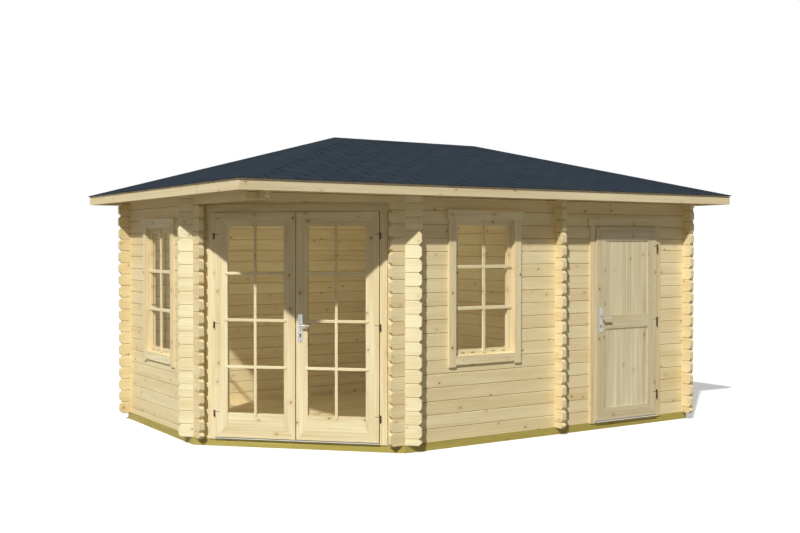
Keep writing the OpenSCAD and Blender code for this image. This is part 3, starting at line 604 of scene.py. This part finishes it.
BRIGHT, STREAK = screen_colour(222, 220, 214), screen_colour(190, 188, 182)
dress(brushed_finish("threshold_strip", ALONG_CORNER, BRIGHT, STREAK, 0.25), "pair_threshold")
dress(brushed_finish("store_threshold_strip", ALONG_FRONT, BRIGHT, STREAK, 0.25), "store_threshold")
SATIN = brushed_finish("satin_handle", UP, screen_colour(206, 206, 204),
                       screen_colour(172, 172, 170), 0.28)
dress(SATIN, "pair_lock_plates", "pair_lever", "store_lock_plates", "store_lever")
HINGE_COAT = coated_finish("brown_hinge_coat", screen_colour(66, 46, 34),
                           screen_colour(120, 92, 70))
HINGES = ("frame_hinges", "left_leaf_hinges", "right_leaf_hinges", "store_leaf_hinges")
dress(HINGE_COAT, *HINGES)
print("sets of hinges:", len(HINGES))

# %% [markdown]
# A pane is thin, so light goes straight through it and only its skin mirrors. A shader for solid
# glass would darken the room behind it. A mirror that is nearly clear does better: it is clear
# where a face is seen straight on and mirrors at a flat angle. The back of each skin stays clear,
# because seen from inside glass the mirrored share would be far too high.

# %% Glass
clear_pane, bench = new_finish("clear_pane")
mirror = bench.node("ShaderNodeFresnel", {}, {"IOR": 1.5})
skin = bench.node("ShaderNodeNewGeometry")
close_finish(bench, {"Base Color": (0.92, 0.96, 0.95, 1.0), "Metallic": 1.0, "Roughness": 0.02,
                     "Alpha": clamped(mirror() * (1 - skin("Backfacing")) * 0.5)})
PANES = ("left_leaf_glass", "right_leaf_glass", "front_window_glass", "left_window_glass")
dress(clear_pane, *PANES)
print("panes:", len(PANES))

# %% [markdown]
# Boards, shingles and bars are flat pieces, so each starts as an outline: a list of points that
# goes round counter-clockwise. One helper moves an outline inwards, for an eased edge, and one
# cuts it to the space that it has. Modifiers could cut the finished pieces, but slowly and with
# ragged edges.

# %% Outlines
SHORT_EDGE = 1e-4
SLIVER = 2e-4


def oblong(left, right, low, high):
    """A rectangle's outline."""
    return [(left, low), (right, low), (right, high), (left, high)]


def outline_area(outline):
    """Area inside an outline."""
    return sum(p[0] * q[1] - p[1] * q[0] for p, q in zip(outline, outline[1:] + outline[:1])) / 2


def inset(outline, distance):
    """An outline with every edge moved inwards."""
    moved = []
    for k, here in enumerate(outline):
        before, after = outline[k - 1], outline[(k + 1) % len(outline)]
        first = Vector((before[1] - here[1], here[0] - before[0])).normalized()
        second = Vector((here[1] - after[1], after[0] - here[0])).normalized()
        moved.append(Vector(here) + (first + second) * (distance / (1 + first.dot(second))))
    return [tuple(point) for point in moved]


def cut_to(outline, space):
    """The part of an outline inside a convex space, both counter-clockwise; empty for a sliver."""
    for k, end in enumerate(space):
        start = space[k - 1]
        sides = [(end[0] - start[0]) * (p[1] - start[1]) - (end[1] - start[1]) * (p[0] - start[0])
                 for p in outline]
        kept = []
        for j, point in enumerate(outline):
            before, here, there = outline[j - 1], sides[j - 1], sides[j]
            if (here < 0) != (there < 0):
                share = here / (here - there)
                kept.append(tuple(p + (q - p) * share for p, q in zip(before, point)))
            if there >= 0:
                kept.append(point)
        outline = [p for j, p in enumerate(kept)
                   if (Vector(p) - Vector(kept[j - 1])).length > SHORT_EDGE]
        if len(outline) < 3:
            return []
    return outline if outline_area(outline) > SLIVER else []


sheet = oblong(0.0, 2.0, 0.0, 1.0)
print("a sheet of", outline_area(sheet), "m2, with 0.1 m off every edge:",
      round(outline_area(inset(sheet, 0.1)), 3))

# %% [markdown]
# One helper stacks outlines into a closed piece, and one joins many pieces into a single mesh that
# rides on a body. A hundred objects would do as well, but one is quicker to draw. Islands stay
# apart in that mesh, so a finish can still give each board its own tone.

# %% From outlines to pieces
def stacked(place, rings):
    """Points and faces of a closed piece, from (outline, depth) rings that place() puts."""
    count = len(rings[0][0])
    points = [place(a, b, depth) for outline, depth in rings for a, b in outline]
    faces = [tuple(range(count)), tuple(range(len(points) - count, len(points)))]
    for base in range(0, len(points) - count, count):
        for k in range(count):
            after = (k + 1) % count
            faces.append((base + k, base + after, base + count + after, base + count + k))
    return points, faces


def eased(outline, low, high, ease):
    """Rings of a flat piece whose edges are eased at its high side."""
    return [(outline, low), (outline, high - ease), (inset(outline, ease), high)]


def facing_up(a, b, depth):
    """Puts an outline flat, with its depth upwards."""
    return a, b, depth


def joined(name, parts, finish, body, stands_for=()):
    """One piece from many, with a finish, on a body, for the solids that it stands for."""
    made = bmesh.new()
    for points, faces in parts:
        corners = [made.verts.new(point) for point in points]
        for face in faces:
            made.faces.new([corners[k] for k in face])
    bmesh.ops.recalc_face_normals(made, faces=made.faces)
    mesh = bpy.data.meshes.new(name)
    made.to_mesh(mesh)
    made.free()
    mesh.materials.append(finish)
    piece = bpy.data.objects.new(name, mesh)
    bpy.context.scene.collection.objects.link(piece)
    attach(piece, body)
    if stands_for:
        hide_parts(*stands_for)
    print(name, len(parts), "parts", len(mesh.polygons), "faces")
    return piece


print("an eased sheet has", len(stacked(facing_up, eased(sheet, 0.0, 0.1, 0.01))[1]), "faces")

# %% [markdown]
# The floor is tongued boards laid along the front, across the joists. They are laid past the room
# on all sides and cut to its plan, as a carpenter does. Eased edges make the seams show.

# %% Floor boards
CORNER_CUT = 1.314
LOG_THICK = 0.044
BOARD_WIDE = 0.096
BOARD_SEAM = 0.0006
BOARD_EASE = 0.0025


def board_finish(name, colours, lean):
    """Pine for boards in one mesh: a tone for each island, and grain along the UV's X."""
    finish, bench = new_finish(name)
    grain = bench.node("ShaderNodeUVMap", {"uv_map": "grain"})
    lot = bench.node("ShaderNodeNewGeometry")("Random Per Island")
    parts = bench.node("ShaderNodeSeparateXYZ", {}, {0: grain()})
    tone = lot * 0.3 - 0.15 + lean
    close_wood(bench, *pine(bench, parts("X"), parts("Y"), lot, tone, colours))
    return finish


def lay_grain(piece, along, across):
    """Writes how far each corner lies along and across the grain."""
    layer = piece.data.uv_layers.new(name="grain")
    for loop in piece.data.loops:
        point = piece.data.vertices[loop.vertex_index].co
        layer.data[loop.index].uv = (point.dot(along), point.dot(across))


def floor_rows(name, plan):
    """Floor boards over a plan, as high as the solid floor."""
    low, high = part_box(name)
    rows = math.ceil((high.y - low.y) / BOARD_WIDE)
    parts = []
    for row in range(rows):
        start = low.y + row * BOARD_WIDE
        board = cut_to(oblong(low.x, high.x, start, start + BOARD_WIDE - BOARD_SEAM), plan)
        if board:
            parts.append(stacked(facing_up, eased(board, low.z, high.z, BOARD_EASE)))
    return parts


FLOOR_PINE = board_finish("floor_board_pine", ROOF_PINE, 0.05)
main_low, main_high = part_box("main_floor")
store_floor_low, store_floor_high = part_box("store_floor")
cut = CORNER_CUT - (2 - math.sqrt(2)) * LOG_THICK
main_plan = [(main_low.x + cut, main_low.y), (main_high.x, main_low.y), (main_high.x, main_high.y),
             (main_low.x, main_high.y), (main_low.x, main_low.y + cut)]
store_plan = oblong(store_floor_low.x, store_floor_high.x, store_floor_low.y, store_floor_high.y)
for name, plan in (("main_floor", main_plan), ("store_floor", store_plan)):
    floor_piece = joined(name + "_boards", floor_rows(name, plan), FLOOR_PINE,
                         "cabin", [name])
    lay_grain(floor_piece, ALONG_FRONT, ALONG_SIDE)

# %% [markdown]
# The roof has four slopes. Each is described in plan: a runs along its eave, b from the eave to
# the ridge, and the height follows from the pitch. The hips then are 45 degree lines, so a slope
# is a simple outline that boards and shingles are cut to. Roof boards run from eave to ridge.

# %% Roof boards
PITCH = math.radians(16.5)
RISE = math.tan(PITCH)
BOARD_THICK = 0.018 / math.cos(PITCH)
RIDGE_LEAST = 0.01
SLOPES = {"front": (ALONG_FRONT, ALONG_SIDE), "right": (ALONG_SIDE, -ALONG_FRONT),
          "back": (-ALONG_FRONT, -ALONG_SIDE), "left": (-ALONG_SIDE, ALONG_FRONT)}


def slope_plan(layer, side):
    """A slope's place(a, b, lift), its outline in plan, and how far it runs."""
    along, inwards = SLOPES[side]
    low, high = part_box(f"{layer}_{side}")
    corners = [Vector((x, y, 0)) for x in (low.x, high.x) for y in (low.y, high.y)]
    start = min(corners, key=lambda corner: corner.dot(along) + corner.dot(inwards))
    start.z = low.z
    length = abs((high - low).dot(along))
    run = abs((high - low).dot(inwards))
    outline = [(0.0, 0.0), (length, 0.0), (length - run, run), (run, run)]
    if length < 2 * run + RIDGE_LEAST:
        outline = [(0.0, 0.0), (length, 0.0), (length / 2, run)]

    def place(a, b, lift):
        return start + along * a + inwards * b + UP * (b * RISE + lift)
    return place, outline, run


ROOF_BOARD_PINE = board_finish("roof_board_pine", ROOF_PINE, 0.0)
for side, (along, inwards) in SLOPES.items():
    place, outline, run = slope_plan("roof_boards", side)
    parts = []
    for row in range(math.ceil(outline[1][0] / BOARD_WIDE)):
        board = oblong(row * BOARD_WIDE, (row + 1) * BOARD_WIDE - BOARD_SEAM, 0.0, run)
        board = cut_to(board, outline)
        if board:
            rings = [(inset(board, BOARD_EASE), 0.0), (board, BOARD_EASE), (board, BOARD_THICK)]
            parts.append(stacked(place, rings))
    piece = joined(f"roof_planks_{side}", parts, ROOF_BOARD_PINE,
                   "cabin", [f"roof_boards_{side}"])
    lay_grain(piece, inwards, along)

# %% [markdown]
# Felt shingles get their colour from stone grit that is rolled into bitumen. The grit is fine
# noise with a slight bump, each tab has a tone of its own, and wide noise weathers the whole roof
# a little. The grit is dull, so the shader's gloss is off: gloss would turn the roof pale at a
# flat angle.

# %% Shingle grit
def shingle_finish(name, dark, light):
    """Slate blue grit, with a tone for each tab."""
    finish, bench = new_finish(name)
    place = bench.node("ShaderNodeTexCoord")("Object")
    lot = bench.node("ShaderNodeNewGeometry")("Random Per Island")
    grit = noise(bench, place, 420.0, 3.0)
    weather = noise(bench, place, 2.5, 3.0)
    tone = clamped(lot * 0.15 + grit * 0.7 + weather * 0.2 - 0.05)
    colour = blend(bench, dark, light, tone)
    close_finish(bench, {"Base Color": colour, "Roughness": grit * 0.2 + 0.75,
                         "Normal": bumped(bench, grit, 0.5, 0.001), "Specular IOR Level": 0.0})
    return finish


SLATE_GRIT = shingle_finish("slate_blue_grit", screen_colour(44, 52, 61), screen_colour(68, 77, 87))
# Near black for the slot strips: bare bitumen, with painted shade of the slot on top of it.
BITUMEN_AND_SLOT_SHADE = shingle_finish("bitumen_and_painted_slot_shade", screen_colour(14, 16, 19), screen_colour(28, 31, 35))
print("roof finishes:", SLATE_GRIT.name, BITUMEN_AND_SLOT_SHADE.name)

# %% [markdown]
# The shingles come in strips with tabs. Each course laps over more than half of the one below and
# is moved half a tab, so its butt end stands up a little and its slots show as short dark lines. A
# bump could fake this, but not at the edge of the roof. So every tab is a thin plate that tilts
# from its butt to nothing, and every slot has a dark strip at its bottom: bare bitumen, painted
# darker still as the shade in the slot.

# %% Shingle courses
COURSES = 15
TAB_WIDE = 0.25
TAB_SLOT = 0.011
TAB_THICK = 0.0014
TAB_LAP = 2.1
TAB_LIFT = TAB_THICK * TAB_LAP
SLOT_STRIP_THICK = 0.0003


def tab_plate(place, tab, butt, depth, thick):
    """A thin plate that is lifted at the butt of its course and lies down at the top."""
    def tilted(a, b, lift):
        return place(a, b, lift + TAB_LIFT * max(0.0, 1 - (b - butt) / depth))
    return stacked(tilted, [(tab, 0.0), (tab, thick)])


slots = []
for side in SLOPES:
    place, outline, run = slope_plan("shingles", side)
    gauge = run / COURSES
    depth = gauge * TAB_LAP
    starter = cut_to(oblong(0.0, outline[1][0], 0.0, depth), outline)
    parts = [stacked(place, [(starter, 0.0), (starter, TAB_THICK)])]
    for course in range(COURSES):
        butt = course * gauge
        shift = (course % 2) * TAB_WIDE / 2
        for tab in range(-1, math.ceil(outline[1][0] / TAB_WIDE) + 1):
            left, right = tab * TAB_WIDE + shift, (tab + 1) * TAB_WIDE + shift
            shape = cut_to(oblong(left, right - TAB_SLOT, butt, min(butt + depth, run)), outline)
            if shape:
                parts.append(tab_plate(place, shape, butt, depth, TAB_THICK))
            # A dark strip in each slot: bitumen, darkened further as painted shade.
            slot = cut_to(oblong(right - TAB_SLOT, right, butt, butt + gauge), outline)
            if slot:
                slots.append(tab_plate(place, slot, butt, depth, SLOT_STRIP_THICK))
    joined(f"shingle_courses_{side}", parts, SLATE_GRIT, "cabin", [f"shingles_{side}"])
joined("shingle_slot_strips", slots, BITUMEN_AND_SLOT_SHADE, "cabin")

# %% [markdown]
# Where two slopes meet, short pieces of the same felt are folded over the joint, each lapping the
# one below. They are so thin that the hips look crisp. A fold is two flat plates, one on each
# slope, that meet at the hip because both are lifted straight up.

# %% Hip and ridge caps
CAP_GAUGE = 0.145
CAP_WIDE = 0.105
CAP_THICK = 0.0008
CAP_LAP = 1.5
CAP_BASE = TAB_LIFT + TAB_THICK
CAP_TILT = 0.0006


def cap_run(place, outline, start, way, inward, length):
    """The plates on one slope of the caps along a hip or the ridge."""
    parts = []
    for cap in range(math.ceil(length / CAP_GAUGE)):
        first, last = cap * CAP_GAUGE, min(length, (cap + CAP_LAP) * CAP_GAUGE)
        shape = [start + way * first, start + way * last,
                 start + way * last + inward * CAP_WIDE, start + way * first + inward * CAP_WIDE]
        shape = [tuple(point) for point in shape]
        if outline_area(shape) < 0:
            shape.reverse()
        shape = cut_to(shape, outline)

        def tilted(a, b, lift):
            share = ((Vector((a, b)) - start).dot(way) - first) / (last - first)
            return place(a, b, lift + CAP_BASE + CAP_TILT * max(0.0, 1 - share))
        if shape:
            parts.append(stacked(tilted, [(shape, 0.0), (shape, CAP_THICK)]))
    return parts


cap_parts = []
for side in SLOPES:
    place, outline, run = slope_plan("shingles", side)
    hip = run * math.sqrt(2)
    rising, falling = Vector((HALF_TURN, HALF_TURN)), Vector((-HALF_TURN, HALF_TURN))
    cap_parts += cap_run(place, outline, Vector(outline[0]), rising, -falling, hip)
    cap_parts += cap_run(place, outline, Vector(outline[1]), falling, -rising, hip)
    if len(outline) == 4:
        left, right = Vector(outline[3]), Vector(outline[2])
        starts = (left, Vector((1, 0))) if side == "front" else (right, Vector((-1, 0)))
        cap_parts += cap_run(place, outline, *starts, Vector((0, -1)), (right - left).length)
joined("hip_and_ridge_caps", cap_parts, SLATE_GRIT, "cabin")

# %% [markdown]
# Glazing bars are loose grids of round-ended strips, laid on the leaf or sash so that the ends lap
# over it. They divide each leaf into two by four panes and each window into two by three. The
# upright bar lies in front and the cross bars are halved into it, which the eye reads as one grid.

# %% Bars of the double door
BAR_EASE = 0.002
UPRIGHT_REACH = 0.016
ROUND_STEPS = 6


def round_ended(length, wide):
    """Outline of a strip with round ends, along a."""
    radius, reach = wide / 2, length / 2 - wide / 2
    sweep = [math.pi * (k / ROUND_STEPS - 0.5) for k in range(ROUND_STEPS + 1)]
    right = [(reach + radius * math.cos(t), radius * math.sin(t)) for t in sweep]
    return right + [(-a, -b) for a, b in right]


def facing(start, way):
    """place(a, b, depth) on a wall face: a along it, b up, depth outwards."""
    out = way.cross(UP)
    return lambda a, b, depth: start + way * a + UP * b + out * depth


def bar_grid(place, half_wide, half_high, rows, lap, bar_wide, thick):
    """One upright bar and the cross bars of a grid, around the middle of a pane."""
    upright = [(-b, a) for a, b in round_ended(2 * (half_high + lap), bar_wide)]
    parts = [stacked(place, eased(upright, 0.0, thick, BAR_EASE))]
    strip = round_ended(2 * (half_wide + lap), bar_wide)
    for row in range(1, rows):
        level = half_high - 2 * half_high * row / rows
        lying = [(a, b + level) for a, b in strip]
        parts.append(stacked(place, eased(lying, 0.0, thick - BAR_EASE / 2, BAR_EASE)))
    return parts


def bar_finish(name, way, mid):
    """Pale pine for the bars of one pane: the grain stands in the upright one."""
    def lying(level, high):
        return (level - PLANK_STEP / 2).math("ABSOLUTE") > UPRIGHT_REACH
    return joinery_finish(name, way, mid - PLANK_STEP / 2, lying, LEAF_PINE, -0.16)


PANE_HALF_WIDE = (LEAF_OUTER - LEAF_INNER - sum(STILES)) / 2
PANE_GROOVE = 0.010
GLASS_DEPTH = 0.020
corner_out = ALONG_CORNER.cross(UP)
for side in ("left", "right"):
    pane = middle(f"{side}_leaf_glass")
    pane_low, pane_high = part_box(f"{side}_leaf_glass")
    half_high = (pane_high.z - pane_low.z) / 2 - PANE_GROOVE
    face = facing(pane + corner_out * GLASS_DEPTH, ALONG_CORNER)
    finish = bar_finish(f"{side}_leaf_bar_pine", ALONG_CORNER, pane.dot(ALONG_CORNER))
    bars = bar_grid(face, PANE_HALF_WIDE, half_high, rows=4, lap=0.025, bar_wide=0.025, thick=0.009)
    joined(f"{side}_leaf_bars", bars, finish, f"{side}_door")

# %% [markdown]
# The windows have the same kind of grid, a little wider, on the face of the sash. The same helper
# makes it from the size of the pane, so a wider window would get a wider grid.

# %% Bars of the windows
SASH_GLASS_DEPTH = 0.019
WINDOWS = (("front_window", ALONG_FRONT), ("left_window", -ALONG_SIDE))
for name, way in WINDOWS:
    pane = middle(name + "_glass")
    low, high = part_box(name + "_glass")
    half_wide = abs((high - low).dot(way)) / 2 - PANE_GROOVE
    half_high = (high.z - low.z) / 2 - PANE_GROOVE
    face = facing(pane + way.cross(UP) * SASH_GLASS_DEPTH, way)
    finish = bar_finish(name + "_bar_pine", way, pane.dot(way))
    bars = bar_grid(face, half_wide, half_high, rows=3, lap=0.036, bar_wide=0.030, thick=0.012)
    joined(name + "_bars", bars, finish, "cabin")

# %% [markdown]
# Small fixings tell the scale: nails in the window boards, screws and keyholes in the lock plates,
# drain slots under the sash. Each is a tiny eased disc or slot just proud of its board, because a
# drilled hole a few millimetres wide reads the same and would cut up the solid. The keyholes and
# slots are dark plates: painted shade in place of a hole.

# %% Nails of the window boards
DISC_SIDES = 10
NAIL_RADIUS = 0.0032
NAIL_PROUD = 0.0008
NAIL_LEVELS = (-0.5, -0.17, 0.17, 0.5)
NAIL_OUT = 0.24
BOARD_HALF, HEAD_HALF = 0.036, 0.042


def disc(radius):
    """A round outline."""
    sweep = [2 * math.pi * k / DISC_SIDES for k in range(DISC_SIDES)]
    return [(radius * math.cos(t), radius * math.sin(t)) for t in sweep]


def shifted(outline, a, b):
    """An outline moved in its plane."""
    return [(p + a, q + b) for p, q in outline]


NAIL_COAT = coated_finish("dull_nail", screen_colour(92, 78, 62), screen_colour(140, 124, 104))
nail_parts = []
for name, way in WINDOWS:
    pane = middle(name + "_glass")
    out = way.cross(UP)
    low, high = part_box(name)
    face_depth = max(corner.dot(out) for corner in (low, high)) - pane.dot(out)
    place = facing(pane + out * (face_depth - NAIL_PROUD / 4), way)
    side = WINDOW_HALF_WIDE + BOARD_HALF
    spots = [(a, b) for a in (-side, side) for b in NAIL_LEVELS]
    ends = (-WINDOW_HALF_HIGH - BOARD_HALF, WINDOW_HALF_HIGH + HEAD_HALF)
    spots += [(a, b) for a in (-NAIL_OUT, NAIL_OUT) for b in ends]
    for a, b in spots:
        head = shifted(disc(NAIL_RADIUS), a, b)
        nail_parts.append(stacked(place, eased(head, 0.0, NAIL_PROUD, NAIL_PROUD / 2)))
joined("window_board_nails", nail_parts, NAIL_COAT, "cabin")

# %% [markdown]
# A lock plate has a screw near each end and a keyhole under the lever, on both faces of the leaf.
# They are thin pieces on the plate's face and ride on the leaf, so they swing with it.

# %% Lock plate fixings
SCREW_RADIUS = 0.0036
SCREW_INSET = 0.012
SCREW_PROUD, SCREW_EASE = 0.0008, 0.0005
SUNK = 0.0004
KEY_ROUND, KEY_SLOT, KEY_DROP = 0.0085, 0.005, 0.022
KEY_BELOW = 0.082
KEY_PROUD = 0.0003
KEY_OPEN, KEY_STEPS = 54, 12
PLATE_FACE = 0.0243
# Near black: painted shade for keyholes and drain slots, and the dark joint of the fascia seam.
HOLE_SHADE_AND_SEAM_DARK = coated_finish("painted_hole_shade_and_dark_seam", screen_colour(20, 20, 22), screen_colour(34, 34, 36))


def keyhole():
    """A round with a slot under it."""
    whole = 180 + 2 * KEY_OPEN
    sweep = [math.radians(-KEY_OPEN + whole * k / KEY_STEPS) for k in range(KEY_STEPS + 1)]
    top = [(KEY_ROUND * math.cos(t), KEY_ROUND * math.sin(t)) for t in sweep]
    return [(-KEY_SLOT, -KEY_DROP), (KEY_SLOT, -KEY_DROP)] + top


for door, way, body in (("pair", ALONG_CORNER, "right_door"), ("store", ALONG_FRONT, "store_door")):
    low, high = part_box(f"{door}_lock_plates")
    plate = (low + high) / 2
    out = way.cross(UP)
    lever = middle(f"{door}_lever")
    face = plate - plate.dot(UP) * UP
    holes, screws = [], []
    for turned in (1, -1):
        place = facing(face + out * turned * PLATE_FACE, way * turned)
        for level in (low.z + SCREW_INSET, high.z - SCREW_INSET):
            head = shifted(disc(SCREW_RADIUS), 0.0, level)
            screws.append(stacked(place, eased(head, -SUNK, SCREW_PROUD, SCREW_EASE)))
        # The keyhole is a near-black plate: painted shade of the hole.
        hole = shifted(keyhole(), 0.0, lever.z - KEY_BELOW)
        holes.append(stacked(place, [(hole, -SUNK), (hole, KEY_PROUD)]))
    joined(f"{door}_plate_screws", screws, SATIN, body)
    joined(f"{door}_keyholes", holes, HOLE_SHADE_AND_SEAM_DARK, body)

# %% [markdown]
# Rain that gets behind the glass leaves through five slots in the bottom rail of each sash. The
# fascia on the left is two boards, with a dark seam where they butt. Both are thin dark plates
# that stand hardly proud, because at this size a cut in the solid would look the same. In the
# slots the dark is painted shade of the hole; in the seam it is the dark joint.

# %% Drain slots and the fascia seam
SLOT_LONG, SLOT_HIGH = 0.042, 0.006
SLOT_UP = 0.016
SLOT_SPOTS = (-0.22, -0.11, 0.0, 0.11, 0.22)
PLATE_DEEP, PLATE_PROUD = 0.001, 0.0002
slot_parts = []
for name, way in WINDOWS:
    pane = middle(name + "_glass")
    pane_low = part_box(name + "_glass")[0]
    face = facing(pane + way.cross(UP) * (SASH_GLASS_DEPTH + PLATE_PROUD) - UP * pane.z, way)
    # Each drain slot is a near-black plate: painted shade of the hole.
    for a in SLOT_SPOTS:
        slot = shifted(round_ended(SLOT_LONG, SLOT_HIGH), a, pane_low.z - SLOT_UP)
        slot_parts.append(stacked(face, [(slot, -PLATE_DEEP), (slot, 0.0)]))
joined("sash_drain_slots", slot_parts, HOLE_SHADE_AND_SEAM_DARK, "cabin")

SEAM_AT, SEAM_WIDE = -0.992, 0.003
SEAM_SHORT = 0.001
fascia_low, fascia_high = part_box("fascia_boards")
seam = oblong(-SEAM_WIDE / 2, SEAM_WIDE / 2, fascia_low.z + SEAM_SHORT, fascia_high.z - SEAM_SHORT)
seam_place = facing(Vector((fascia_low.x, SEAM_AT, 0.0)), -ALONG_SIDE)
seam_plate = stacked(seam_place, [(seam, -PLATE_DEEP), (seam, PLATE_PROUD)])
joined("fascia_seam", [seam_plate], HOLE_SHADE_AND_SEAM_DARK, "cabin")

# %% [markdown]
